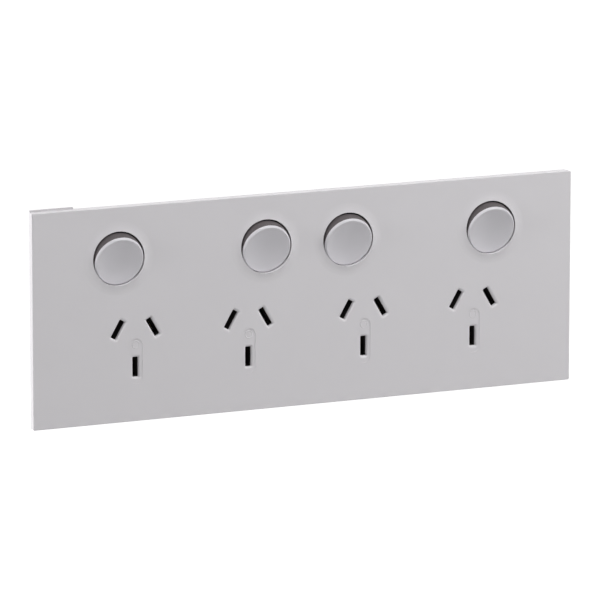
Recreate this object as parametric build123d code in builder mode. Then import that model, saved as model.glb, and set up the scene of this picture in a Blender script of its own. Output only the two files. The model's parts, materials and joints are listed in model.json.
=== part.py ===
from build123d import *
import os
from math import asin, cos, degrees, radians, sin

# Quad power outlet: four switched flat-pin sockets in a row on one wall plate. Two twin
# mechanisms drop into a shared mounting frame, and one cover clips on over both.
# Millimetres. The origin is on the wall behind the middle of the plate, +X runs right along
# the plate, +Y goes into the wall and +Z is up. A height is counted from the wall towards
# the room, so height h is the plane Y = -h, and what lies in the wall has heights below zero.

# Cover plate
plate_margin = 20.275
plate_height = 79.4
face_height = 3.9
plate_wall = 1.7
rim_wall = 1.8
corner_radius = 0.6
edge_round = 0.3

# Mounting frame between the cover's rim and the wall
frame_thickness = 1.0
frame_inset = 0.4
tab_length = 16.7
tab_rise = 0.74
rib_wall = 1.2
rib_clearance = 0.15
bead_length = 9.0
bead_reach = 0.35
bead_rise = 0.5
skirt_wall = 1.5
skirt_depth = 6.0

# Sockets: where the pins go and the mouths that lead them in
socket_pitch = 44.5
pin_pitch = 13.72
pin_z = -5.39
earth_drop = 14.27
pin_lean = 30.0
slot_length = 7.3
slot_width = 2.1
slot_corner = 0.3
mouth_round = 1.05
panel_width = 5.1
panel_length = 16.8
panel_z = -17.5
panel_depth = 0.2

# Switch holes in the cover, each with a raised flared lip
switch_pitch = 57.95
switch_z = 20.9
hole_radius = 10.0
lip_spread = 3.5
lip_rise = 0.6

# Rocker switches: a dished pale cap clipped on a dark carrier that rocks on two trunnions
half_travel = 16.0
pivot_depth = 2.4
trunnion_radius = 0.85
trunnion_reach = 2.2
cap_gap = 0.6
cap_bevel = 0.6
cap_rise = 4.05
cap_edge = 1.0
cap_wall = 1.2
dish_slope = 18.0
spigot_inset = 0.8
leg_width = 3.0
leg_thickness = 1.2
leg_length = 1.2
leg_offset = 5.6
carrier_tail = 0.3

# Plunger and spring inside the carrier
boss_radius = 2.9
boss_reach = 6.2
bore_radius = 1.8
bore_head = 0.4
plunger_reach = 8.65
plunger_gap = 0.15
plunger_stem = 4.4
spring_wire = 0.22
spring_turns = 3

# Seesaw contact under each plunger
seesaw_width = 5.0
seesaw_thickness = 0.8
contact_arm = 8.0
seesaw_tail = 5.5
button_radius = 1.6
button_rise = 0.6
ridge_rise = 1.15
ridge_half = 1.0
nose_radius = 0.3

# Contact strips, pin clips and terminals
strip = 0.8
strip_width = 4.0
strip_height = -13.0
supply_width = 5.0
leaf = 0.6
clip_grip = 1.7
clip_length = 6.4
clip_setback = 3.0
supply_post_offset = 20.0
neutral_strip_z = -12.5
cross_strip_z = 12.0
riser_width = 3.0
terminal_size = 8.5
terminal_bore = 2.6
terminal_screw_radius = 1.7
active_terminal_u = -8.0
neutral_terminal_u = 10.1
earth_terminal_u = -6.0

# Mechanism mouldings
body_side = 1.425
body_gap = 6.65
body_head = 1.5
body_foot = 11.34
body_corner = 3.0
front_lip = 2.0
deck_wall = 1.7
body_wall = 1.6
joint_height = -3.0
housing_depth = 24.0
housing_round = 1.2
well_clearance = 0.3
well_wall = 1.3
well_floor_height = -1.8
guide_wall = 1.2
collar_wall = 0.6
collar_rise = 0.4
slot_step = 0.1

# Screws
fixing_pitch = 84.0
fixing_radius = 2.1
fixing_head_radius = 4.0
fixing_wall = 1.4
tube_radius = 3.2
boss_inset_x = 4.1
boss_inset_z = 3.9
screw_radius = 1.4
screw_head_radius = 2.3
screw_head_rise = 1.8
screw_boss_radius = 3.5
screw_seat_height = -12.0
screw_tip_height = 0.0

# Clearances
running = 0.05
loose = 0.1
clear = 0.2
contact_clear = 0.3

# Levels and places that follow from the sizes
earth_z = pin_z - earth_drop
well_radius = hole_radius + well_clearance
body_width = switch_pitch + 2 * (well_radius + well_wall + body_side)
body_top = switch_z + well_radius + well_wall + body_head
body_bottom = earth_z - body_foot
pair_pitch = body_width + body_gap
plate_width = pair_pitch + body_width + 2 * plate_margin
inner_height = face_height - plate_wall
deck_height = inner_height - loose
deck_back = deck_height - deck_wall
pivot_height = face_height - pivot_depth
cavity_back = body_wall - housing_depth
fulcrum_height = pivot_height - plunger_reach - plunger_gap - seesaw_thickness
supply_front = fulcrum_height - ridge_rise
strip_back = strip_height - strip
clip_front = joint_height - clip_setback
seesaw_tilt = half_travel / 2
button_reach = contact_arm * sin(radians(seesaw_tilt)) + button_rise
fixed_contact_front = fulcrum_height - button_reach - button_radius * sin(radians(seesaw_tilt)) - clear
body_middle = (body_top + body_bottom) / 2
body_height = body_top - body_bottom
terminal_depth = strip_back - cavity_back - loose
terminal_axis_height = strip_back - terminal_depth / 2
top_terminal_z = body_top - body_wall - loose - terminal_size / 2
earth_terminal_z = body_bottom + body_wall + loose + terminal_size / 2
collar_top = deck_height + collar_rise
collar_length = slot_length + 2 * collar_wall
collar_width = slot_width + 2 * collar_wall
live_offset = -pin_pitch / 2
neutral_offset = pin_pitch / 2
cap_skirt_radius = hole_radius - cap_gap
cap_radius = cap_skirt_radius - cap_bevel
cap_back = cap_rise - cap_edge
dish_radius = cap_radius / sin(radians(dish_slope))
dish_bottom = cap_rise - dish_radius * (1 - cos(radians(dish_slope)))
cap_seat = dish_bottom - cap_wall
spigot_radius = cap_skirt_radius - spigot_inset
carrier_radius = hole_radius - clear

pairs = [("left", -pair_pitch / 2), ("right", pair_pitch / 2)]
socket_offsets = [-socket_pitch / 2, socket_pitch / 2]
switch_offsets = [-switch_pitch / 2, switch_pitch / 2]
socket_places = [middle + offset for _, middle in pairs for offset in socket_offsets]
switch_places = [middle + offset for _, middle in pairs for offset in switch_offsets]
fixing_places = {"left": -fixing_pitch / 2, "right": fixing_pitch / 2}
body_clear_width = body_width + 2 * clear
body_clear_height = body_height + 2 * clear
bead_places = [-plate_width / 3, 0, plate_width / 3]
catch_offsets = [-body_width / 4, body_width / 4]

os.makedirs("parts", exist_ok=True)


def level(height):
    """The plane parallel to the wall at this height, seen from the room: x is X and y is Z."""
    return Plane.XZ.offset(height)


def block(x, z, width, tall, low, high, mode=Mode.ADD):
    """A rectangular block centred at x, z between two heights."""
    with BuildSketch(level(low)) as outline:
        with Locations((x, z)):
            Rectangle(width, tall)
    extrude(outline.sketch, amount=high - low, mode=mode)


def drum(x, z, radius, low, high, mode=Mode.ADD):
    """A round post or hole centred at x, z between two heights."""
    with BuildSketch(level(low)) as outline:
        with Locations((x, z)):
            Circle(radius)
    extrude(outline.sketch, amount=high - low, mode=mode)


def pin_slots(socket_x):
    """Place and turn of the active, neutral and earth slots of one socket."""
    return [
        (socket_x + live_offset, pin_z, 90 - pin_lean),
        (socket_x + neutral_offset, pin_z, 90 + pin_lean),
        (socket_x, earth_z, 90),
    ]


# The cover plate: a shallow tray with lead-in mouths for the pins and flared switch holes
with BuildPart() as cover_plate:
    with BuildSketch(level(frame_thickness)):
        RectangleRounded(plate_width, plate_height, corner_radius)
    extrude(amount=face_height - frame_thickness)
    fillet(cover_plate.faces().sort_by(Axis.Y)[0].edges(), edge_round)
    cavity_width = plate_width - 2 * rim_wall
    cavity_height = plate_height - 2 * rim_wall
    block(0, 0, cavity_width, cavity_height, frame_thickness, inner_height, Mode.SUBTRACT)

    for x in switch_places:
        # The lip rises tangent to the face and ends in a rounded edge at the hole
        radial = Plane(origin=(x, 0, switch_z), x_dir=(1, 0, 0), z_dir=(0, 0, -1))
        with BuildSketch(radial) as lip:
            with BuildLine():
                foot = (hole_radius + lip_spread, face_height)
                top = (hole_radius, face_height + lip_rise)
                flare = TangentArc(foot, top, tangent=(-1, 0))
                Polyline(top, (hole_radius, inner_height), (foot[0], inner_height), foot)
            make_face()
            fillet(lip.vertices().sort_by(Axis.Y)[0], edge_round)
        revolve(axis=Axis((x, 0, switch_z), (0, -1, 0)))
        drum(x, switch_z, hole_radius, frame_thickness, face_height + lip_rise, Mode.SUBTRACT)
        # Pockets behind the lip let the trunnions stand in the cover's thickness
        pocket_top = pivot_height + trunnion_radius + loose
        pocket_reach = hole_radius + trunnion_reach
        block(x, switch_z, 2 * pocket_reach, 2 * (trunnion_radius + clear), inner_height, pocket_top,
              Mode.SUBTRACT)

    for socket_x in socket_places:
        with BuildSketch(level(face_height)):
            with Locations((socket_x, panel_z)):
                SlotOverall(panel_length, panel_width, rotation=90)
        extrude(amount=-panel_depth, mode=Mode.SUBTRACT)
        for x, z, turn in pin_slots(socket_x):
            with BuildSketch(level(inner_height)):
                with Locations((x, z)):
                    RectangleRounded(slot_length, slot_width, slot_corner, rotation=turn)
            extrude(amount=plate_wall, mode=Mode.SUBTRACT)
            fillet(cover_plate.edges(Select.LAST).group_by(Axis.Y)[0], mouth_round)
        # A pocket behind each slot takes the collar of the pin guide
        for x, z, turn in pin_slots(socket_x):
            with BuildSketch(level(inner_height)):
                with Locations((x, z)):
                    RectangleRounded(collar_length + 2 * clear, collar_width + 2 * clear,
                                     collar_wall, rotation=turn)
            extrude(amount=collar_top + loose - inner_height, mode=Mode.SUBTRACT)

    # Pockets in the rim for the frame's snap beads
    for x in bead_places:
        for side in (-1, 1):
            pocket_z = side * (cavity_height / 2 + bead_reach / 2)
            block(x, pocket_z, bead_length + 2 * clear, bead_reach + 2 * loose,
                  frame_thickness + loose, frame_thickness + bead_rise + 2 * loose, Mode.SUBTRACT)
cover_plate.part.label = "cover_plate"
export_step(cover_plate.part, "parts/cover_plate.step")

# The mounting frame: a flat flange with a rib that locates the cover and skirts for the bodies
with BuildPart() as mounting_frame:
    with BuildSketch(level(0)):
        RectangleRounded(plate_width - 2 * frame_inset, plate_height, corner_radius)
    extrude(amount=frame_thickness)
    # The release tab stands above the cover at the left end of the top edge
    tab_left = frame_inset - plate_width / 2
    block(tab_left + tab_length / 2, plate_height / 2, tab_length, 2 * tab_rise, 0, frame_thickness)
    rib_width = cavity_width - 2 * rib_clearance
    rib_height = cavity_height - 2 * rib_clearance
    rib_top = deck_height
    with BuildSketch(level(frame_thickness)):
        Rectangle(rib_width, rib_height)
        Rectangle(rib_width - 2 * rib_wall, rib_height - 2 * rib_wall, mode=Mode.SUBTRACT)
    extrude(amount=rib_top - frame_thickness)
    for x in bead_places:
        for side in (-1, 1):
            bead_z = side * (rib_height / 2 + bead_reach / 2)
            block(x, bead_z, bead_length, bead_reach,
                  frame_thickness + 2 * loose, frame_thickness + bead_rise)
    for name, middle in pairs:
        with BuildSketch(level(0)):
            with Locations((middle, body_middle)):
                RectangleRounded(body_clear_width + 2 * skirt_wall, body_clear_height + 2 * skirt_wall,
                                 body_corner + clear + skirt_wall)
        extrude(amount=-skirt_depth)
    for name, middle in pairs:
        with BuildSketch(level(frame_thickness)):
            with Locations((middle, body_middle)):
                RectangleRounded(body_clear_width, body_clear_height, body_corner + clear)
        extrude(amount=-(frame_thickness + skirt_depth), mode=Mode.SUBTRACT)
        # Catches on the skirt click into notches in the mechanism's top and bottom walls
        for offset in catch_offsets:
            for wall_z, inward in ((body_top + clear, -1), (body_bottom - clear, 1)):
                catch_z = wall_z + inward * (clear + bead_reach) / 2
                block(middle + offset, catch_z, bead_length, clear + bead_reach,
                      joint_height / 2 - bead_rise, joint_height / 2)
mounting_frame.part.label = "mounting_frame"
export_step(mounting_frame.part, "parts/mounting_frame.step")


def boss_places(middle):
    """Where the four housing screws of one mechanism stand."""
    side = body_width / 2 - boss_inset_x
    return [(middle + x, z) for x in (-side, side)
            for z in (body_bottom + boss_inset_z, body_top - boss_inset_z)]


for name, middle in pairs:
    fixing_x = fixing_places[name]
    sockets = [middle + offset for offset in socket_offsets]
    switches = [middle + offset for offset in switch_offsets]

    # The front moulding: a deck with switch wells, pin guides and the fixing hole
    with BuildPart() as front_moulding:
        with BuildSketch(level(frame_thickness)):
            with Locations((middle, body_middle)):
                RectangleRounded(body_width + 2 * front_lip, body_height + 2 * front_lip,
                                 body_corner)
        extrude(amount=deck_height - frame_thickness)
        with BuildSketch(level(deck_back)):
            with Locations((middle, body_middle)):
                RectangleRounded(body_width, body_height, body_corner)
        extrude(amount=deck_height - deck_back)
        with BuildSketch(level(joint_height)):
            with Locations((middle, body_middle)):
                RectangleRounded(body_width, body_height, body_corner)
                Rectangle(body_width - 2 * body_wall, body_height - 2 * body_wall,
                          mode=Mode.SUBTRACT)
            with Locations([(x, switch_z) for x in switches]):
                Circle(well_radius + well_wall)
            with Locations((fixing_x, 0)):
                Circle(tube_radius + fixing_wall)
            with Locations(boss_places(middle)):
                Circle(screw_boss_radius)
            for socket_x in sockets:
                for x, z, turn in pin_slots(socket_x):
                    with Locations((x, z)):
                        RectangleRounded(slot_length + 2 * guide_wall, slot_width + 2 * guide_wall,
                                         guide_wall, rotation=turn)
        extrude(amount=deck_back - joint_height)
        for x in switches:
            drum(x, switch_z, well_radius, well_floor_height, deck_height, Mode.SUBTRACT)
            # The plunger's boss swings through an oblong hole in the well's floor
            swing = boss_reach * sin(radians(half_travel)) + contact_clear
            opening = 2 * (boss_radius + swing)
            block(x, switch_z, 2 * (boss_radius + clear), opening, joint_height, well_floor_height,
                  Mode.SUBTRACT)
            # Half-round saddles for the trunnions, open to the room
            cradle_reach = hole_radius + trunnion_reach
            saddle = Plane(origin=(x, -pivot_height, switch_z), x_dir=(0, 1, 0), z_dir=(1, 0, 0))
            with BuildSketch(saddle):
                Circle(trunnion_radius + running)
                with Locations((-deck_height / 2, 0)):
                    Rectangle(deck_height, 2 * (trunnion_radius + running))
            extrude(amount=cradle_reach, both=True, mode=Mode.SUBTRACT)
        for socket_x in sockets:
            for x, z, turn in pin_slots(socket_x):
                with BuildSketch(level(deck_height)):
                    with Locations((x, z)):
                        RectangleRounded(collar_length, collar_width, collar_wall, rotation=turn)
                extrude(amount=collar_rise)
                with BuildSketch(level(joint_height)):
                    with Locations((x, z)):
                        RectangleRounded(slot_length + 2 * slot_step, slot_width + 2 * slot_step,
                                         slot_corner, rotation=turn)
                extrude(amount=collar_top - joint_height, mode=Mode.SUBTRACT)
        with Locations(level(deck_height).location * Location((fixing_x, 0, 0))):
            CounterSinkHole(fixing_radius, fixing_head_radius, deck_height - joint_height, 90)
        for x, z in boss_places(middle):
            drum(x, z, screw_radius + running, joint_height, screw_tip_height + clear, Mode.SUBTRACT)
        for offset in catch_offsets:
            for wall_z, inward in ((body_top, -1), (body_bottom, 1)):
                notch = bead_reach + loose
                block(middle + offset, wall_z + inward * notch / 2, bead_length + 2 * clear, notch,
                      joint_height / 2 - bead_rise - loose, joint_height / 2 + loose, Mode.SUBTRACT)
    front_moulding.part.label = f"{name}_front_moulding"
    export_step(front_moulding.part, f"parts/{name}_front_moulding.step")

    terminals = {
        "active": (middle + active_terminal_u, top_terminal_z, 1),
        "neutral": (middle + neutral_terminal_u, top_terminal_z, 1),
        "earth": (middle + earth_terminal_u, earth_terminal_z, -1),
    }

    # The rear housing: a deep tray with screw bosses, strip supports and wire entries
    with BuildPart() as rear_housing:
        with BuildSketch(level(joint_height)):
            with Locations((middle, body_middle)):
                RectangleRounded(body_width, body_height, body_corner)
        extrude(amount=-housing_depth - joint_height)
        fillet(rear_housing.faces().sort_by(Axis.Y)[-1].edges(), housing_round)
        with BuildSketch(level(joint_height)):
            with Locations((middle, body_middle)):
                Rectangle(body_width - 2 * body_wall, body_height - 2 * body_wall)
        extrude(amount=cavity_back - joint_height, mode=Mode.SUBTRACT)
        with BuildSketch(level(cavity_back)):
            with Locations((fixing_x, 0)):
                Circle(tube_radius + fixing_wall)
            with Locations(boss_places(middle)):
                Circle(screw_boss_radius)
        extrude(amount=joint_height - cavity_back)
        # Posts carry the contact strips and the supply bar
        for socket_x in sockets:
            for x, z, turn in pin_slots(socket_x):
                block(x, z, strip_width, strip_width, cavity_back, strip_back)
        for x in switches:
            drum(x, switch_z + contact_arm, strip_width / 2, cavity_back, strip_back)
        for offset in (-supply_post_offset, supply_post_offset):
            block(middle + offset, switch_z, riser_width, supply_width, cavity_back,
                  supply_front - strip)
        drum(fixing_x, 0, tube_radius, -housing_depth, joint_height, Mode.SUBTRACT)
        for x, z in boss_places(middle):
            drum(x, z, screw_radius + running, screw_seat_height, joint_height, Mode.SUBTRACT)
            drum(x, z, screw_head_radius + clear, -housing_depth, screw_seat_height, Mode.SUBTRACT)
        # A wire enters each terminal through the wall beside it, and its screw faces the rear
        for x, z, way in terminals.values():
            wall_z = body_top if way > 0 else body_bottom
            entry = Plane(origin=(x, -terminal_axis_height, wall_z), x_dir=(1, 0, 0),
                          z_dir=(0, 0, way))
            with BuildSketch(entry):
                Circle(terminal_bore + contact_clear)
            extrude(amount=-body_wall, mode=Mode.SUBTRACT)
            drum(x, z, terminal_screw_radius + 2 * clear, -housing_depth, cavity_back, Mode.SUBTRACT)
    rear_housing.part.label = f"{name}_rear_housing"
    export_step(rear_housing.part, f"parts/{name}_rear_housing.step")

    # Housing screws, driven from the rear
    with BuildPart() as housing_screws:
        for x, z in boss_places(middle):
            drum(x, z, screw_radius, screw_seat_height, screw_tip_height)
            drum(x, z, screw_head_radius, screw_seat_height - screw_head_rise, screw_seat_height)
            for width, tall in ((2 * screw_radius, leaf), (leaf, 2 * screw_radius)):
                block(x, z, width, tall, screw_seat_height - screw_head_rise,
                      screw_seat_height - screw_head_rise / 2, Mode.SUBTRACT)
    housing_screws.part.label = f"{name}_housing_screws"
    export_step(housing_screws.part, f"parts/{name}_housing_screws.step")

    def pin_clip(x, z, turn):
        """Two brass leaves that grip one flat pin, on a base as thick as the strip."""
        outer = clip_grip + 2 * leaf
        with BuildSketch(level(strip_back)) as base:
            with Locations((x, z)):
                Rectangle(clip_length, outer, rotation=turn)
        extrude(base.sketch, amount=strip)
        with BuildSketch(level(strip_height)) as leaves:
            with Locations((x, z)):
                Rectangle(clip_length, outer, rotation=turn)
                Rectangle(clip_length, clip_grip, rotation=turn, mode=Mode.SUBTRACT)
        extrude(leaves.sketch, amount=clip_front - strip_height)

    def strap(x1, z1, x2, z2):
        """Flat strip that spans two corners of a rectangle."""
        block((x1 + x2) / 2, (z1 + z2) / 2, abs(x2 - x1), abs(z2 - z1), strip_back, strip_height)

    half = strip_width / 2

    # Neutral bar: both neutral clips and the riser to the neutral terminal
    with BuildPart() as neutral_bar:
        neutral_xs = [socket_x + neutral_offset for socket_x in sockets]
        strap(neutral_xs[0] - half, neutral_strip_z - half, neutral_xs[1] + half,
              neutral_strip_z + half)
        for x in neutral_xs:
            strap(x - half, neutral_strip_z, x + half, pin_z)
            pin_clip(x, pin_z, 90 + pin_lean)
        riser_x = middle + neutral_terminal_u
        strap(riser_x - riser_width / 2, neutral_strip_z, riser_x + riser_width / 2,
              top_terminal_z + terminal_size / 3)
    neutral_bar.part.label = f"{name}_neutral_bar"
    export_step(neutral_bar.part, f"parts/{name}_neutral_bar.step")

    # Earth bar: both earth clips and the tab to the earth terminal
    with BuildPart() as earth_bar:
        strap(sockets[0] - half, earth_z - half, sockets[1] + half, earth_z + half)
        for x in sockets:
            pin_clip(x, earth_z, 90)
        tab_x = middle + earth_terminal_u
        strap(tab_x - half, earth_terminal_z - terminal_size / 3, tab_x + half, earth_z)
    earth_bar.part.label = f"{name}_earth_bar"
    export_step(earth_bar.part, f"parts/{name}_earth_bar.step")

    # Supply bar: a round-nosed edge under each seesaw and a stepped tab to the active terminal
    with BuildPart() as supply_bar:
        supply_back = supply_front - strip
        supply_length = switch_pitch + seesaw_width
        block(middle, switch_z, supply_length, supply_width, supply_back, supply_front)
        for x in switches:
            side_on = Plane(origin=(x, 0, switch_z), x_dir=(0, 0, 1), z_dir=(1, 0, 0))
            with BuildSketch(side_on):
                with BuildLine():
                    Polyline((nose_radius, fulcrum_height), (ridge_half, supply_front),
                             (-ridge_half, supply_front), (-nose_radius, fulcrum_height))
                    ThreePointArc((-nose_radius, fulcrum_height), (0, fulcrum_height + nose_radius),
                                  (nose_radius, fulcrum_height))
                make_face()
            extrude(amount=seesaw_width / 2, both=True)
        tab_x = middle + active_terminal_u
        step_z = switch_z + supply_width / 2
        block(tab_x, step_z - strip / 2, strip_width, strip, strip_back, supply_front)
        tab_top = top_terminal_z + terminal_size / 3
        strap(tab_x - half, step_z - strip, tab_x + half, tab_top)
    supply_bar.part.label = f"{name}_supply_bar"
    export_step(supply_bar.part, f"parts/{name}_supply_bar.step")

    # Terminals: brass tunnels for the supply wires, each clamped by one screw
    for pole, (x, z, way) in terminals.items():
        with BuildPart() as terminal:
            block(x, z, terminal_size, terminal_size, strip_back - terminal_depth, strip_back)
            tunnel = Plane(origin=(x, -terminal_axis_height, z), x_dir=(1, 0, 0), z_dir=(0, 0, 1))
            with BuildSketch(tunnel):
                Circle(terminal_bore)
            extrude(amount=terminal_size / 2, both=True, mode=Mode.SUBTRACT)
            drum(x, z, terminal_screw_radius + running, strip_back - terminal_depth,
                 terminal_axis_height, Mode.SUBTRACT)
        terminal.part.label = f"{name}_{pole}_terminal"
        export_step(terminal.part, f"parts/{name}_{pole}_terminal.step")

    with BuildPart() as terminal_screws:
        screw_tail = -housing_depth + clear
        screw_nose = terminal_axis_height - terminal_bore - clear
        for x, z, way in terminals.values():
            drum(x, z, terminal_screw_radius, screw_tail, screw_nose)
            block(x, z, 2 * terminal_screw_radius, leaf, screw_tail, screw_tail + leaf, Mode.SUBTRACT)
    terminal_screws.part.label = f"{name}_terminal_screws"
    export_step(terminal_screws.part, f"parts/{name}_terminal_screws.step")

# The fixed contact of each switch runs down to the active clip of its socket
for number, (switch_x, socket_x) in enumerate(zip(switch_places, socket_places), 1):
    active_x = socket_x + live_offset
    half = strip_width / 2
    with BuildPart() as active_contact:
        contact_z = switch_z + contact_arm * cos(radians(seesaw_tilt))
        drum(switch_x, contact_z, button_radius + clear, strip_height, fixed_contact_front)
        strap(switch_x - half, cross_strip_z - half, switch_x + half, contact_z + half)
        strap(active_x - half, cross_strip_z - half, switch_x + half, cross_strip_z + half)
        strap(active_x - half, pin_z, active_x + half, cross_strip_z + half)
        pin_clip(active_x, pin_z, 90 - pin_lean)
    active_contact.part.label = f"active_contact_{number}"
    export_step(active_contact.part, f"parts/active_contact_{number}.step")

# The switches, drawn as they rest: the top of each rocker stands out and the bottom is pressed in
for number, x in enumerate(switch_places, 1):
    tilt = radians(half_travel)
    rocker = Plane(origin=(x, -pivot_height, switch_z), x_dir=(1, 0, 0),
                   z_dir=(0, -cos(tilt), -sin(tilt)))
    across = Plane(origin=rocker.origin, x_dir=rocker.y_dir, z_dir=rocker.x_dir)

    # Cap: a disc with a bevelled rim, a dished face, a spigot and two legs that clip it on
    with BuildPart() as switch_cap:
        with BuildSketch(across):
            with BuildLine():
                rim = (cap_radius, cap_rise)
                Polyline((0, dish_bottom), (0, cap_seat), (spigot_radius, cap_seat),
                         (spigot_radius, cap_back), (cap_skirt_radius, cap_back))
                TangentArc((cap_skirt_radius, cap_back), rim, tangent=(0, 1))
                RadiusArc(rim, (0, dish_bottom), dish_radius)
            make_face()
        revolve(axis=Axis(rocker.origin, rocker.z_dir))
        with BuildSketch(rocker.offset(cap_seat)):
            with Locations((-leg_offset, 0), (leg_offset, 0)):
                Rectangle(leg_thickness, leg_width)
        extrude(amount=-leg_length)
    switch_cap.part.label = f"switch_cap_{number}"
    export_step(switch_cap.part, f"parts/switch_cap_{number}.step")

    # Carrier: its side is part of a ball about the pivot, so its gap in the hole stays the same
    # as it rocks. Trunnions carry it, and a boss guides the plunger.
    with BuildPart() as switch_carrier:
        with BuildSketch(across):
            with BuildLine():
                low_angle = -degrees(asin(carrier_tail / carrier_radius))
                high_angle = degrees(asin(cap_back / carrier_radius))
                ball = CenterArc((0, 0), carrier_radius, low_angle, high_angle - low_angle)
                Polyline(ball @ 1, (spigot_radius + loose, cap_back),
                         (spigot_radius + loose, cap_seat - loose), (0, cap_seat - loose),
                         (0, -carrier_tail), ball @ 0)
            make_face()
        revolve(axis=Axis(rocker.origin, rocker.z_dir))
        with BuildSketch(rocker.offset(-boss_reach)):
            Circle(boss_radius)
        extrude(amount=boss_reach)
        with BuildSketch(across):
            Circle(trunnion_radius)
        extrude(amount=hole_radius + trunnion_reach - clear, both=True)
        with BuildSketch(rocker.offset(-boss_reach)):
            Circle(bore_radius)
        extrude(amount=boss_reach + bore_head, mode=Mode.SUBTRACT)
        with BuildSketch(rocker.offset(cap_seat)):
            with Locations((-leg_offset, 0), (leg_offset, 0)):
                Rectangle(leg_thickness + 2 * loose, leg_width + 2 * loose)
        extrude(amount=-leg_length - loose, mode=Mode.SUBTRACT)
    switch_carrier.part.label = f"switch_carrier_{number}"
    export_step(switch_carrier.part, f"parts/switch_carrier_{number}.step")

    # Plunger: a round-nosed pin with a spigot that the spring sits on
    nose = bore_radius - loose
    stem_top = -plunger_reach + nose + plunger_stem
    with BuildPart() as switch_plunger:
        with BuildSketch(across):
            with BuildLine():
                spigot = bore_radius - 2 * loose - 2 * spring_wire - clear
                Line((0, -plunger_reach), (0, stem_top + 1))
                Polyline((0, stem_top + 1), (spigot, stem_top + 1), (spigot, stem_top),
                         (nose, stem_top), (nose, -plunger_reach + nose))
                RadiusArc((nose, -plunger_reach + nose), (0, -plunger_reach), nose)
            make_face()
        revolve(axis=Axis(rocker.origin, rocker.z_dir))
    switch_plunger.part.label = f"switch_plunger_{number}"
    export_step(switch_plunger.part, f"parts/switch_plunger_{number}.step")

    # Spring between the plunger's shoulder and the end of the bore
    with BuildPart() as switch_spring:
        spring_foot = stem_top + spring_wire + loose
        spring_length = bore_head - spring_wire - loose - spring_foot
        with BuildLine() as coil:
            Helix(spring_length / spring_turns, spring_length,
                  bore_radius - loose - spring_wire,
                  center=rocker.origin + rocker.z_dir * spring_foot, direction=rocker.z_dir)
        with BuildSketch(coil.line ^ 0):
            Circle(spring_wire)
        sweep(is_frenet=True)
    switch_spring.part.label = f"switch_spring_{number}"
    export_step(switch_spring.part, f"parts/switch_spring_{number}.step")

    # Seesaw contact: its groove rocks on the supply bar's nose as the plunger crosses over it
    lean = radians(seesaw_tilt)
    seesaw = Plane(origin=(x, -fulcrum_height, switch_z), x_dir=(1, 0, 0),
                   z_dir=(0, -cos(lean), sin(lean)))
    with BuildPart() as seesaw_contact:
        with BuildSketch(seesaw):
            with Locations((0, (contact_arm + button_radius - seesaw_tail) / 2)):
                Rectangle(seesaw_width, contact_arm + button_radius + seesaw_tail)
        extrude(amount=seesaw_thickness)
        with BuildSketch(seesaw):
            with Locations((0, contact_arm)):
                Circle(button_radius)
        extrude(amount=-button_rise)
        with BuildSketch(Plane(origin=seesaw.origin, x_dir=seesaw.y_dir, z_dir=seesaw.x_dir)):
            Circle(nose_radius + loose)
        extrude(amount=seesaw_width, both=True, mode=Mode.SUBTRACT)
    seesaw_contact.part.label = f"seesaw_contact_{number}"
    export_step(seesaw_contact.part, f"parts/seesaw_contact_{number}.step")
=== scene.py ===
# %% [markdown]
# # A quad power outlet, dressed for its portrait
# The construction already exists: a clip-on cover over a screw-fixed frame, two twin mechanisms
# behind it, and four round rockers that really tilt. This lesson gives it its finishes, adds the
# small moulded and turned details, and photographs it in soft light.
# The first cell loads that construction as a fixed frame. Nothing in it is moved or reshaped
# here, so whatever is added takes its place from the frame's own boxes.

# %% Load the construction
import json
import math

import bpy
import mathutils
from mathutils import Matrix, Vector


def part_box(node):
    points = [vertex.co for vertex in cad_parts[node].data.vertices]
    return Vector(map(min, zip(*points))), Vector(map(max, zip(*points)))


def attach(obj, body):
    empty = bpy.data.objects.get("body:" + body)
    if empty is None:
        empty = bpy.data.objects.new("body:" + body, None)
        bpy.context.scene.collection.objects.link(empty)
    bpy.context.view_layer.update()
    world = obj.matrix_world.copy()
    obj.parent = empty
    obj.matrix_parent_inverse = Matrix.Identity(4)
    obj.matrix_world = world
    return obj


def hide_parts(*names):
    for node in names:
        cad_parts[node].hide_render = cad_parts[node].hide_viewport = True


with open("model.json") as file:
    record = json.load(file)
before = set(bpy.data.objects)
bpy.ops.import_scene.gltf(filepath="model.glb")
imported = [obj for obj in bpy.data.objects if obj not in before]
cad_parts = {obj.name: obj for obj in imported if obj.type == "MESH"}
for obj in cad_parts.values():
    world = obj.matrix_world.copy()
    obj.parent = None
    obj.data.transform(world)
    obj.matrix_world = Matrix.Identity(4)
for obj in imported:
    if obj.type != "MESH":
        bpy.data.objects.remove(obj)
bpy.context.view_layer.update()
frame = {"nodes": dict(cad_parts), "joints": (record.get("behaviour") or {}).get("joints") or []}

nodes = frame["nodes"]

# %% [markdown]
# ## Measures that several steps share
# The frame is in metres, and moulded parts are drawn in millimetres, so one named factor turns
# one into the other. The outlet repeats itself four times along the plate, and the places of
# its rockers are read from the joints rather than typed again.

# %% Places read from the frame
MM = 0.001
tilt_joints = [joint for joint in frame["joints"] if joint["name"].startswith("rocker")]
pivots = [mathutils.Vector(joint["pos_m"]) for joint in tilt_joints]
cover_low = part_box("cover_plate")[0]
for joint, pivot in zip(tilt_joints, pivots):
    print(joint["name"], "pivots at", [round(v / MM, 2) for v in pivot])

# %% [markdown]
# ## Shader sums that read as sums
# A finish is mostly arithmetic: some noise here, scaled, added to a base value there. Blender
# keeps arithmetic in Math nodes, which are slow to read as a list of links. A small class wraps
# one socket, and each Python operator on it adds the Math node for that operation.

# %% A socket that can be added and multiplied


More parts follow.
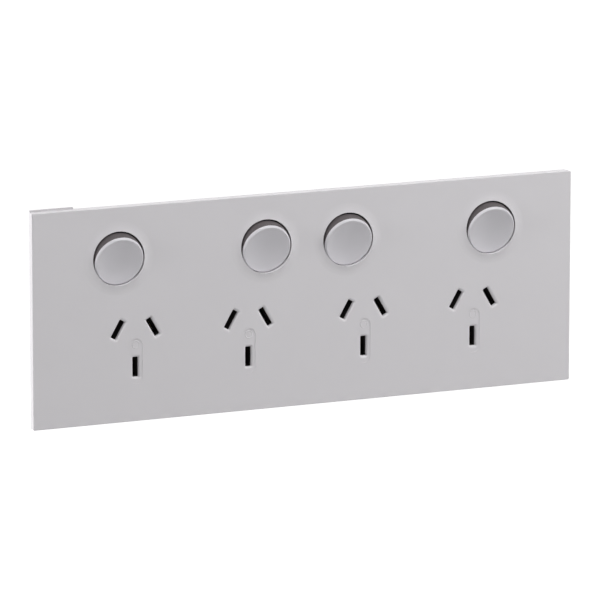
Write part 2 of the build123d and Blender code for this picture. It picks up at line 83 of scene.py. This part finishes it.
class Signal:
    """A number that varies over a surface, held as a node's output socket."""

    def __init__(self, wiring, socket):
        self.wiring = wiring
        self.socket = socket

    def math(self, operation, *values):
        """The Math node for this operation on the values, as a new signal."""
        return self.wiring.node("ShaderNodeMath", {"operation": operation}, *values)

    def __add__(self, other):
        return self.math("ADD", self, other)

    def __radd__(self, other):
        return self.math("ADD", other, self)

    def __sub__(self, other):
        return self.math("SUBTRACT", self, other)

    def __rsub__(self, other):
        return self.math("SUBTRACT", other, self)

    def __mul__(self, other):
        return self.math("MULTIPLY", self, other)

    def __rmul__(self, other):
        return self.math("MULTIPLY", other, self)


# %% [markdown]
# Everything that isn't plain arithmetic, such as noise or a colour mix, comes from one method.
# It makes the node, applies its settings first because they can change which sockets exist, and
# then fills the sockets by place or by name. A finish adds a material with its Principled
# shader, and the sky of the studio is wired by the same method further down.

# %% One node maker, and a finish that uses it


class Wiring:
    """A node tree whose nodes all come from one method."""

    def __init__(self, tree):
        self.tree = tree

    def fill(self, socket, value):
        """Links a signal or a socket, or sets a constant."""
        if isinstance(value, Signal):
            value = value.socket
        if isinstance(value, bpy.types.NodeSocket):
            self.tree.links.new(value, socket)
        else:
            socket.default_value = value

    def node(self, kind, settings=None, *values, output=0, **named):
        """Makes one node: settings first, then sockets by place or by name with _ for a space."""
        made = self.tree.nodes.new(kind)
        for name, value in (settings or {}).items():
            if name == "stops":
                ramp = made.color_ramp
                while len(ramp.elements) < len(value):
                    ramp.elements.new(1.0)
                for element, (position, grey) in zip(ramp.elements, value):
                    element.position = position
                    element.color = (grey, grey, grey, 1.0)
            else:
                setattr(made, name, value)
        for place, value in enumerate(values):
            self.fill(made.inputs[place], value)
        for name, value in named.items():
            self.fill(made.inputs[name.replace("_", " ")], value)
        return Signal(self, made.outputs[output])

    def blend(self, amount, first, second):
        """A colour between two colours, by an amount from 0 to 1."""
        made = self.tree.nodes.new("ShaderNodeMix")
        made.data_type = "RGBA"
        colour_a, colour_b, colour_out = 6, 7, 2
        self.fill(made.inputs["Factor"], amount)
        self.fill(made.inputs[colour_a], first)
        self.fill(made.inputs[colour_b], second)
        return Signal(self, made.outputs[colour_out])


class Finish(Wiring):
    """One material with a Principled shader at its end."""

    def __init__(self, name):
        self.material = bpy.data.materials.new(name)
        self.material.use_nodes = True
        super().__init__(self.material.node_tree)
        self.shader = self.tree.nodes["Principled BSDF"]

    def surface(self, **sockets):
        """Sets the Principled shader's own sockets."""
        for name, value in sockets.items():
            self.fill(self.shader.inputs[name.replace("_", " ")], value)


def rgb(red, green, blue):
    """A colour with full opacity, in linear light."""
    return (red, green, blue, 1.0)


# %% [markdown]
# ## Moulded plastic
# The cover, frame, caps and housings are all injection moulded. Such a surface is never one flat
# colour: the pigment clouds very slightly, the tool's fine texture breaks up the gloss, and the
# plastic is a touch shinier where it froze against polished steel. Noise on Object coordinates
# gives all three, at sizes given in millimetres, so no unwrapping is needed.

# %% Moulded plastic, from satin to matt
grain_gloss = 0.05
noise_middle = 0.5


def moulded(name, colour, shade, cloud_mm, grain_mm, grain_depth_mm, gloss, gloss_change):
    """Pigment clouds between two colours, a fine tool grain and a slowly changing gloss."""
    finish = Finish(name)
    place = finish.node("ShaderNodeTexCoord", {}, output="Object")
    cloud = finish.node("ShaderNodeTexNoise", {}, Vector=place,
                        Scale=1 / (cloud_mm * MM), Detail=3.0)
    grain = finish.node("ShaderNodeTexNoise", {}, Vector=place,
                        Scale=1 / (grain_mm * MM), Detail=2.0)
    relief = finish.node("ShaderNodeBump", {}, Strength=1.0, Distance=grain_depth_mm * MM,
                         Height=grain)
    finish.surface(Base_Color=finish.blend(cloud, rgb(*colour), rgb(*shade)),
                   Roughness=(gloss + gloss_change * (cloud - noise_middle)
                              + grain_gloss * (grain - noise_middle)),
                   Normal=relief)
    print(name, "clouds", cloud_mm, "mm, grain", grain_mm, "mm")
    return finish.material


cover_finish = moulded("cover_satin", colour=(0.745, 0.727, 0.75),
                       shade=(0.73, 0.712, 0.735), cloud_mm=14, grain_mm=0.35,
                       grain_depth_mm=0.002, gloss=0.42, gloss_change=0.08)
cap_finish = moulded("cap_satin", colour=(0.705, 0.69, 0.724),
                     shade=(0.69, 0.675, 0.71), cloud_mm=9, grain_mm=0.3,
                     grain_depth_mm=0.001, gloss=0.36, gloss_change=0.06)
frame_finish = moulded("frame_satin", colour=(0.72, 0.704, 0.722),
                       shade=(0.70, 0.684, 0.70), cloud_mm=11, grain_mm=0.3,
                       grain_depth_mm=0.003, gloss=0.5, gloss_change=0.08)
carrier_finish = moulded("carrier_matt", colour=(0.088, 0.0765, 0.079),
                         shade=(0.081, 0.070, 0.073), cloud_mm=6, grain_mm=0.25,
                         grain_depth_mm=0.004, gloss=0.55, gloss_change=0.1)
deck_finish = moulded("deck_black", colour=(0.012, 0.0112, 0.011),
                      shade=(0.016, 0.0148, 0.0144), cloud_mm=9, grain_mm=0.3,
                      grain_depth_mm=0.004, gloss=0.6, gloss_change=0.1)
housing_finish = moulded("housing_grey", colour=(0.60, 0.60, 0.585),
                         shade=(0.55, 0.55, 0.535), cloud_mm=12, grain_mm=0.4,
                         grain_depth_mm=0.006, gloss=0.5, gloss_change=0.12)
nylon_finish = moulded("nylon_ivory", colour=(0.72, 0.70, 0.64),
                       shade=(0.66, 0.64, 0.57), cloud_mm=3, grain_mm=0.2,
                       grain_depth_mm=0.001, gloss=0.38, gloss_change=0.08)

# %% [markdown]
# ## Metals
# The contacts are rolled brass strip, the terminals are sawn from brass bar, the screws are
# zinc plated and the springs are drawn wire. A metal's colour is in its reflection, so each one
# is fully metallic, with roughness and fine lines from stretched noise, and a little tarnish
# that dulls the brass in patches.

# %% Worked metal
patch_size = 3.5 * MM
patch_stops = [(0.42, 0.0), (0.68, 1.0)]
line_gloss = 0.12
dull_gloss = 0.15


def worked_metal(name, colour, tarnish, line_mm, line_stretch, line_depth_mm, gloss):
    """Metal with tooling lines along one axis and patches of tarnish."""
    finish = Finish(name)
    place = finish.node("ShaderNodeTexCoord", {}, output="Object")
    along = finish.node("ShaderNodeMapping", {}, Vector=place, Scale=line_stretch)
    lines = finish.node("ShaderNodeTexNoise", {}, Vector=along,
                        Scale=1 / (line_mm * MM), Detail=3.0)
    patches = finish.node("ShaderNodeTexNoise", {}, Vector=place,
                          Scale=1 / patch_size, Detail=4.0)
    dull = finish.node("ShaderNodeValToRGB", {"stops": patch_stops}, patches)
    relief = finish.node("ShaderNodeBump", {}, Strength=1.0, Distance=line_depth_mm * MM,
                         Height=lines)
    finish.surface(Base_Color=finish.blend(dull, rgb(*colour), rgb(*tarnish)),
                   Roughness=gloss + line_gloss * lines + dull_gloss * dull,
                   Metallic=1.0, Normal=relief)
    print(name, "lines", line_mm, "mm")
    return finish.material


strip_finish = worked_metal("brass_strip", colour=(0.80, 0.60, 0.28),
                            tarnish=(0.62, 0.42, 0.17), line_mm=0.12,
                            line_stretch=(1.0, 1.0, 0.08), line_depth_mm=0.002, gloss=0.2)
bar_finish = worked_metal("brass_bar", colour=(0.78, 0.60, 0.30),
                          tarnish=(0.60, 0.43, 0.20), line_mm=0.15,
                          line_stretch=(0.1, 1.0, 1.0), line_depth_mm=0.004, gloss=0.25)
wire_finish = worked_metal("spring_wire", colour=(0.62, 0.61, 0.60),
                           tarnish=(0.42, 0.40, 0.38), line_mm=0.08,
                           line_stretch=(1.0, 1.0, 1.0), line_depth_mm=0.001, gloss=0.22)
zinc_finish = worked_metal("zinc_plate", colour=(0.72, 0.73, 0.74),
                           tarnish=(0.60, 0.61, 0.60), line_mm=0.1,
                           line_stretch=(1.0, 1.0, 1.0), line_depth_mm=0.001, gloss=0.24)

# %% [markdown]
# ## Each node takes its finish
# Nodes with the same job share a finish, and a node's name says its job.

# %% Give every node its finish
finish_by_word = [
    ("cover_plate", cover_finish),
    ("mounting_frame", frame_finish),
    ("switch_cap", cap_finish),
    ("switch_carrier", carrier_finish),
    ("switch_plunger", nylon_finish),
    ("switch_spring", wire_finish),
    ("front_moulding", deck_finish),
    ("rear_housing", housing_finish),
    ("screws", zinc_finish),
    ("terminal", bar_finish),
    ("bar", strip_finish),
    ("contact", strip_finish),
]
for name, node in nodes.items():
    material = next(finish for word, finish in finish_by_word if word in name)
    node.data.materials.clear()
    node.data.materials.append(material)
print("finished nodes", len(nodes))

# %% [markdown]
# ## Caps with an even dish
# A thumb rests in the shallow dish of each cap, and it is polished, so light must run over it
# without a break. The construction's mesh keeps one direction for each corner of a face, and at
# the very middle of a ball-shaped dish the direction that it keeps is wrong, which shows as a
# bright dot. The dish could be spun anew, but then its form would have to be typed again. So each
# cap is a merged copy in which a corner that leans too far from its own face takes the face's
# direction. The form stays as it is, and the copy rides on the same rocker.

# %% Even copies of the caps
merge_digits = 7
most_lean = math.radians(20)


def even_copy(node, name):
    """A merged copy of a node's mesh in which no corner's direction strays from its face."""
    source = node.data
    places, faces, directions = {}, [], []
    for face in source.polygons:
        corners = []
        for loop in face.loop_indices:
            point = source.vertices[source.loops[loop].vertex_index].co
            place = tuple(round(v, merge_digits) for v in point)
            corners.append(places.setdefault(place, len(places)))
        if len(set(corners)) < len(corners):
            continue
        faces.append(corners)
        for loop in face.loop_indices:
            direction = source.corner_normals[loop].vector
            stray = direction.angle(face.normal, math.pi) > most_lean
            directions.append(tuple(face.normal if stray else direction))
    mesh = bpy.data.meshes.new(name)
    mesh.from_pydata(list(places), [], faces)
    mesh.shade_smooth()
    mesh.normals_split_custom_set(directions)
    piece = bpy.data.objects.new(name, mesh)
    bpy.context.scene.collection.objects.link(piece)
    print(name, "faces", len(faces), "of", len(source.polygons))
    return piece


for number in range(1, len(pivots) + 1):
    cap = even_copy(nodes[f"switch_cap_{number}"], f"dished_cap_{number}")
    cap.data.materials.append(cap_finish)
    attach(cap, f"rocker_{number}")
    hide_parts(f"switch_cap_{number}")

# %% [markdown]
# ## Small parts that repeat
# Marks, ribs and screws come in rows, so each kind is one Geometry Nodes tree with named sizes
# that grows on a handful of points. Growing on points keeps the shape in one place and the
# layout in another. The sizes reach the modifier by each input's own identifier, because a name
# may change, and the result is kept as a plain mesh, so nothing is left to work out later.

# %% A recipe grown on points


class Recipe:
    """A Geometry Nodes tree that puts one shape on each of an object's points."""

    def __init__(self, name, **sizes):
        self.tree = bpy.data.node_groups.new(name, "GeometryNodeTree")
        self.sizes = {}
        self.open_socket("Geometry", "INPUT", "NodeSocketGeometry")
        self.open_socket("Geometry", "OUTPUT", "NodeSocketGeometry")
        for label, value in sizes.items():
            socket = self.open_socket(label, "INPUT", "NodeSocketFloat")
            self.sizes[socket.identifier] = value
        self.given = self.tree.nodes.new("NodeGroupInput")

    def open_socket(self, label, way, kind):
        """Adds one named socket to the tree's own inputs or outputs."""
        return self.tree.interface.new_socket(label, in_out=way, socket_type=kind)

    def size(self, label):
        """The socket that carries a named size into the tree."""
        return self.given.outputs[label]

    def step(self, kind, settings=None, output=0, **named):
        """One node with its settings, its sockets filled by name, and the output asked for."""
        made = self.tree.nodes.new(kind)
        for name, value in (settings or {}).items():
            setattr(made, name, value)
        for name, value in named.items():
            for one in value if isinstance(value, list) else [value]:
                socket = made.inputs[name.replace("_", " ")]
                if isinstance(one, bpy.types.NodeSocket):
                    self.tree.links.new(one, socket)
                else:
                    socket.default_value = one
        return made.outputs[output]

    def sum(self, operation, first, second):
        """A Math node on two sizes."""
        made = self.tree.nodes.new("ShaderNodeMath")
        made.operation = operation
        for socket, value in zip(made.inputs, (first, second)):
            if isinstance(value, bpy.types.NodeSocket):
                self.tree.links.new(value, socket)
            else:
                socket.default_value = value
        return made.outputs[0]

    def finish_with(self, shape, material):
        """Puts the shape on every point, makes it real and gives it its finish."""
        placed = self.step("GeometryNodeInstanceOnPoints", Points=self.size("Geometry"),
                           Instance=shape)
        real = self.step("GeometryNodeRealizeInstances", Geometry=placed)
        dressed = self.step("GeometryNodeSetMaterial", Geometry=real, Material=material)
        result = self.tree.nodes.new("NodeGroupOutput")
        self.tree.links.new(dressed, result.inputs["Geometry"])


def grow(name, recipe, places):
    """Grows a recipe on these places and keeps the plain mesh as a piece of the fixed body."""
    seeds = bpy.data.meshes.new(name + "_places")
    seeds.from_pydata([tuple(place) for place in places], [], [])
    piece = bpy.data.objects.new(name, seeds)
    bpy.context.scene.collection.objects.link(piece)
    modifier = piece.modifiers.new(name, "NODES")
    modifier.node_group = recipe.tree
    for identifier, value in recipe.sizes.items():
        modifier[identifier] = value
    graph = bpy.context.evaluated_depsgraph_get()
    mesh = bpy.data.meshes.new_from_object(piece.evaluated_get(graph), depsgraph=graph)
    piece.modifiers.clear()
    piece.data = mesh
    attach(piece, "root")
    print(name, "on", len(places), "places,", len(mesh.polygons), "faces")
    return piece


# %% [markdown]
# ## Ring marks in the earth panels
# The shallow oblong panel under each pair of live slots carries a small faint round mark above
# its earth slot. It is a plain raised ring, about a tenth of a millimetre high, which a round
# wire bent to a circle and sunk into the panel gives with few faces. A socket's middle is half a
# strip's width inside the end of its earth bar, so the places come from the bars' boxes.

# %% Ring marks
ring_wire_radius = 0.16 * MM
stand_upright = (math.pi / 2, 0, 0)
ring_recipe = Recipe("panel_ring", Ring_radius=1.35 * MM, Wire_radius=ring_wire_radius)
ring_line = ring_recipe.step("GeometryNodeCurvePrimitiveCircle", Resolution=40,
                             Radius=ring_recipe.size("Ring_radius"))
ring_section = ring_recipe.step("GeometryNodeCurvePrimitiveCircle", Resolution=10,
                                Radius=ring_recipe.size("Wire_radius"))
ring_wire = ring_recipe.step("GeometryNodeCurveToMesh", Curve=ring_line,
                             Profile_Curve=ring_section)
ring_upright = ring_recipe.step("GeometryNodeTransform", Geometry=ring_wire,
                                Rotation=stand_upright)
ring_recipe.finish_with(ring_upright, cover_finish)

strip_half = 2 * MM
panel_sink = 0.2 * MM
ring_proud = 0.08 * MM
ring_z = -11.4 * MM
lip_rise = 0.6 * MM
panel_y = cover_low.y + lip_rise + panel_sink
ring_y = panel_y + ring_wire_radius - ring_proud
ring_places = []
for side in ("left", "right"):
    bar_low, bar_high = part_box(f"{side}_earth_bar")
    for socket_x in (bar_low.x + strip_half, bar_high.x - strip_half):
        ring_places.append((socket_x, ring_y, ring_z))
grow("panel_ring_marks", ring_recipe, ring_places)

# %% [markdown]
# ## Grip ribs on the rear housings
# The side that meets a hand while the mechanism is pressed into its frame has low half-round
# ribs. They run into the wall, stay clear of the wire entries, and stand a third of a millimetre
# proud, so each is a short round bar sunk into the housing's top or bottom wall.

# %% Grip ribs
rib_radius = 0.5 * MM
rib_recipe = Recipe("grip_rib", Rib_radius=rib_radius, Rib_length=13 * MM)
rib_end = rib_recipe.step("ShaderNodeCombineXYZ", Y=rib_recipe.size("Rib_length"))
rib_line = rib_recipe.step("GeometryNodeCurvePrimitiveLine", End=rib_end)
rib_section = rib_recipe.step("GeometryNodeCurvePrimitiveCircle", Resolution=12,
                              Radius=rib_recipe.size("Rib_radius"))
rib_bar = rib_recipe.step("GeometryNodeCurveToMesh", Curve=rib_line, Profile_Curve=rib_section,
                          Fill_Caps=True)
rib_recipe.finish_with(rib_bar, housing_finish)

rib_proud = 0.35 * MM
rib_pitch = 2.2 * MM
rib_start = 8.5 * MM
ribs_in_row = 8
row_inset = 9.5 * MM
for side in ("left", "right"):
    shell_low, shell_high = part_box(f"{side}_rear_housing")
    rib_places = []
    for wall_z, outward in ((shell_low.z, -1), (shell_high.z, 1)):
        centre_z = wall_z + outward * (rib_proud - rib_radius)
        for number in range(ribs_in_row):
            step_in = row_inset + number * rib_pitch
            rib_places.append((shell_low.x + step_in, rib_start, centre_z))
            rib_places.append((shell_high.x - step_in, rib_start, centre_z))
    grow(f"{side}_grip_ribs", rib_recipe, rib_places)

# %% [markdown]
# ## Housing screws
# Four self-tapping screws hold each rear housing to its front moulding, seen from behind as
# domed heads with a cross recess, deep in round wells. A head is a ball cut to a disc by a
# cylinder, and two crossed bars are then cut out of it, which is how the real recess is punched.
# The thread is a wire wound on the shank. The frame's screws give their number and places.

# %% The screw's head, with its recess
head_radius = 2.3 * MM
ball_to_head = 1.5
screw_recipe = Recipe("housing_screw", Head_radius=head_radius, Head_rise=1.8 * MM,
                      Shank_radius=1.15 * MM, Shank_length=12 * MM, Recess_width=0.62 * MM,
                      Recess_reach=1.45 * MM, Recess_depth=1.0 * MM, Thread_rise=0.24 * MM,
                      Turns=9.0)
head_rise = screw_recipe.size("Head_rise")
ball_radius = screw_recipe.sum("MULTIPLY", screw_recipe.size("Head_radius"), ball_to_head)
ball_drop = screw_recipe.sum("SUBTRACT", head_rise, ball_radius)
ball = screw_recipe.step("GeometryNodeMeshUVSphere", Segments=40, Rings=30, Radius=ball_radius)
ball_at = screw_recipe.step("ShaderNodeCombineXYZ", Z=ball_drop)
ball_placed = screw_recipe.step("GeometryNodeTransform", Geometry=ball, Translation=ball_at)
disc = screw_recipe.step("GeometryNodeMeshCylinder", Vertices=40, Depth=head_rise,
                         Radius=screw_recipe.size("Head_radius"))
half_rise = screw_recipe.sum("MULTIPLY", head_rise, 0.5)
disc_at = screw_recipe.step("ShaderNodeCombineXYZ", Z=half_rise)
disc_placed = screw_recipe.step("GeometryNodeTransform", Geometry=disc, Translation=disc_at)
dome = screw_recipe.step("GeometryNodeMeshBoolean",
                         {"operation": "INTERSECT", "solver": "EXACT"},
                         Mesh_2=[disc_placed, ball_placed])
reach = screw_recipe.sum("MULTIPLY", screw_recipe.size("Recess_reach"), 2.0)
depth = screw_recipe.sum("MULTIPLY", screw_recipe.size("Recess_depth"), 2.0)
bars = []
for across, along in ((screw_recipe.size("Recess_width"), reach),
                      (reach, screw_recipe.size("Recess_width"))):
    bar_size = screw_recipe.step("ShaderNodeCombineXYZ", X=across, Y=along, Z=depth)
    bar = screw_recipe.step("GeometryNodeMeshCube", Size=bar_size)
    bar_at = screw_recipe.step("ShaderNodeCombineXYZ", Z=head_rise)
    bars.append(screw_recipe.step("GeometryNodeTransform", Geometry=bar, Translation=bar_at))
head = screw_recipe.step("GeometryNodeMeshBoolean",
                         {"operation": "DIFFERENCE", "solver": "EXACT"},
                         Mesh_1=dome, Mesh_2=bars)
print("steps in the head", len(screw_recipe.tree.nodes))

# %% [markdown]
# Below the head the shank tapers to its tip, as a screw that cuts its own way into plastic does.
# The thread follows a spiral curve, so its pitch comes from the length and the number of turns.

# %% The screw's shank and thread, and where the screws go
tip_to_shank = 0.7
thread_to_shank = 0.85
tip_radius = screw_recipe.sum("MULTIPLY", screw_recipe.size("Shank_radius"), tip_to_shank)
shank = screw_recipe.step("GeometryNodeMeshCone", Vertices=20,
                          Radius_Top=screw_recipe.size("Shank_radius"),
                          Radius_Bottom=tip_radius,
                          Depth=screw_recipe.size("Shank_length"))
shank_drop = screw_recipe.sum("MULTIPLY", screw_recipe.size("Shank_length"), -1.0)
shank_at = screw_recipe.step("ShaderNodeCombineXYZ", Z=shank_drop)
shank_placed = screw_recipe.step("GeometryNodeTransform", Geometry=shank, Translation=shank_at)
thread_length = screw_recipe.sum("MULTIPLY", screw_recipe.size("Shank_length"),
                                 thread_to_shank)
thread_line = screw_recipe.step("GeometryNodeCurveSpiral", Resolution=16,
                                Rotations=screw_recipe.size("Turns"),
                                Start_Radius=screw_recipe.size("Shank_radius"),
                                End_Radius=screw_recipe.size("Shank_radius"),
                                Height=thread_length)
thread_section = screw_recipe.step("GeometryNodeCurvePrimitiveCircle", Resolution=5,
                                   Radius=screw_recipe.size("Thread_rise"))
thread = screw_recipe.step("GeometryNodeCurveToMesh", Curve=thread_line,
                           Profile_Curve=thread_section, Fill_Caps=True)
thread_placed = screw_recipe.step("GeometryNodeTransform", Geometry=thread,
                                  Translation=shank_at)
whole = screw_recipe.step("GeometryNodeJoinGeometry",
                          Geometry=[head, shank_placed, thread_placed])
head_to_the_back = (-math.pi / 2, 0, 0)
screw_turned = screw_recipe.step("GeometryNodeTransform", Geometry=whole,
                                 Rotation=head_to_the_back)
screw_recipe.finish_with(screw_turned, zinc_finish)

head_seat = 12 * MM
for side in ("left", "right"):
    low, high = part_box(f"{side}_housing_screws")
    places = [(x, head_seat, z) for x in (low.x + head_radius, high.x - head_radius)
              for z in (low.z + head_radius, high.z - head_radius)]
    screws = grow(f"{side}_turned_screws", screw_recipe, places)
    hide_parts(f"{side}_housing_screws")

# %% [markdown]
# ## The camera
# The photograph is taken with a long lens from the left and a little above, so the plate's far
# end is almost as tall as its near end. The view was worked out from the pin slots and the
# plate's corners: one focal length, three turns and one distance.

# %% Camera
frame_pixels = 600
focal_pixels = 5913.185
pitch, turn, roll = (math.radians(angle) for angle in (11.5113, -24.077, 0.0278))
camera_to_face = mathutils.Vector((2.4682, -0.4532, 2161.2)) * MM
face_centre = mathutils.Vector((0, -3.9, 0)) * MM

about_z = mathutils.Matrix.Rotation(roll, 3, "Z")
about_x = mathutils.Matrix.Rotation(pitch, 3, "X")
about_y = mathutils.Matrix.Rotation(turn, 3, "Y")
image_axes = mathutils.Matrix(((1, 0, 0), (0, 0, -1), (0, 1, 0)))
to_image = about_z @ about_x @ about_y @ image_axes

camera_data = bpy.data.cameras.new("portrait")
camera_data.sensor_width = 36.0
camera_data.lens = focal_pixels / frame_pixels * camera_data.sensor_width
camera_data.clip_start = 0.05
camera_data.clip_end = 60.0
camera = bpy.data.objects.new("portrait", camera_data)
bpy.context.scene.collection.objects.link(camera)
right, down, ahead = to_image
axes = mathutils.Matrix((right, -down, -ahead)).transposed()
camera.matrix_world = axes.to_4x4()
camera.location = face_centre - to_image.transposed() @ camera_to_face
bpy.context.scene.camera = camera
print("camera at", [round(v, 3) for v in camera.location])

# %% [markdown]
# ## The studio
# The plate hangs clear of a pale floor. Its top and left edges are the brightest things on it,
# though the face is only mildly lit, so soft lamps stand behind it above and to the left, and
# two more light the face from above. One at the left shines almost along the face, so that
# the flared mouths and lips catch light on the sides that face it. The face of each rocker
# leans down and stays darker, a little less so at the right, where one weak lamp stands low.
# The floor looks white to the camera and in reflections alone: a glow that grows with distance
# makes up for what the lamps leave, so a shadow on it still shows and metal mirrors a white room,
# while the plastic gets no soft light from that glow. The same three rays choose the sky.

# %% Floor
floor_drop = 0.30
floor_size = 30.0
floor_colour = 0.65
glow_near = 0.66
glow_per_metre = 0.13
shown_rays = ("Is Camera Ray", "Is Glossy Ray", "Is Transmission Ray")
floor_finish = Finish("studio_floor")
seen, mirrored, seen_through = (floor_finish.node("ShaderNodeLightPath", {}, output=ray)
                                for ray in shown_rays)
floor_place = floor_finish.node("ShaderNodeTexCoord", {}, output="Object")
distance = floor_finish.node("ShaderNodeVectorMath", {"operation": "LENGTH"}, floor_place,
                             output="Value")
level = (seen + mirrored + seen_through) * (glow_near + glow_per_metre * distance)
glow = floor_finish.blend(level, rgb(0, 0, 0), rgb(1, 1, 1))
floor_finish.surface(Base_Color=rgb(floor_colour, floor_colour, floor_colour), Roughness=0.9,
                     Emission_Color=glow, Emission_Strength=1.0)
floor_mesh = bpy.data.meshes.new("floor")
half_floor = floor_size / 2
floor_corners = [(x * half_floor, y * half_floor, -floor_drop)
                 for x, y in ((-1, -1), (1, -1), (1, 1), (-1, 1))]
floor_mesh.from_pydata(floor_corners, [], [(0, 1, 2, 3)])
floor = bpy.data.objects.new("floor", floor_mesh)
floor.data.materials.append(floor_finish.material)
bpy.context.scene.collection.objects.link(floor)
print("floor lies at", -floor_drop, "and is", floor_size, "across")

# %% Lamps


def soft_lamp(name, place, size, watts):
    """A square lamp of this size that looks at the plate's middle."""
    data = bpy.data.lights.new(name, "AREA")
    data.shape = "SQUARE"
    data.size = size
    data.energy = watts
    lamp = bpy.data.objects.new(name, data)
    lamp.location = place
    lamp.rotation_mode = "QUATERNION"
    lamp.rotation_quaternion = (-lamp.location).to_track_quat("-Z", "Y")
    bpy.context.scene.collection.objects.link(lamp)
    return lamp


lamps = [
    soft_lamp("lamp_above_right", (0.75, -0.5, 0.8), size=0.6, watts=4.9),
    soft_lamp("lamp_above_near", (0.2, -0.45, 0.8), size=0.6, watts=4.0),
    soft_lamp("lamp_behind_top", (0, 0.9, 1.3), size=0.9, watts=3.2),
    soft_lamp("lamp_behind_left", (-1.5, 0.9, 0.35), size=0.9, watts=14),
    soft_lamp("lamp_grazing_left", (-1.6, -0.15, 0.45), size=0.5, watts=11),
    soft_lamp("lamp_low_right", (0.9, -1.0, -0.22), size=0.4, watts=1.4),
]
print("lamps", [(lamp.name, lamp.data.energy) for lamp in lamps])

# %% [markdown]
# The sky is a weak even light on the object, and a plain white wherever the camera or a mirror
# looks past it. Colours are shown as they are written, so the view transform is the plain one.

# %% Sky
sky_strength = 0.10
world = bpy.data.worlds.new("studio")
bpy.context.scene.world = world
world.use_nodes = True
sky = Wiring(world.node_tree)
seen, mirrored, seen_through = (sky.node("ShaderNodeLightPath", {}, output=ray)
                                for ray in shown_rays)
weak_light = sky.node("ShaderNodeBackground", {}, Color=rgb(1, 1, 1), Strength=sky_strength)
white_room = sky.node("ShaderNodeBackground", {}, Color=rgb(1, 1, 1), Strength=1.0)
chosen = sky.node("ShaderNodeMixShader", {}, seen + mirrored + seen_through, weak_light, white_room)
sky.fill(sky.tree.nodes["World Output"].inputs["Surface"], chosen)

view = bpy.context.scene.view_settings
view.view_transform = "Standard"
print("sky", world.name, "strength", sky_strength)
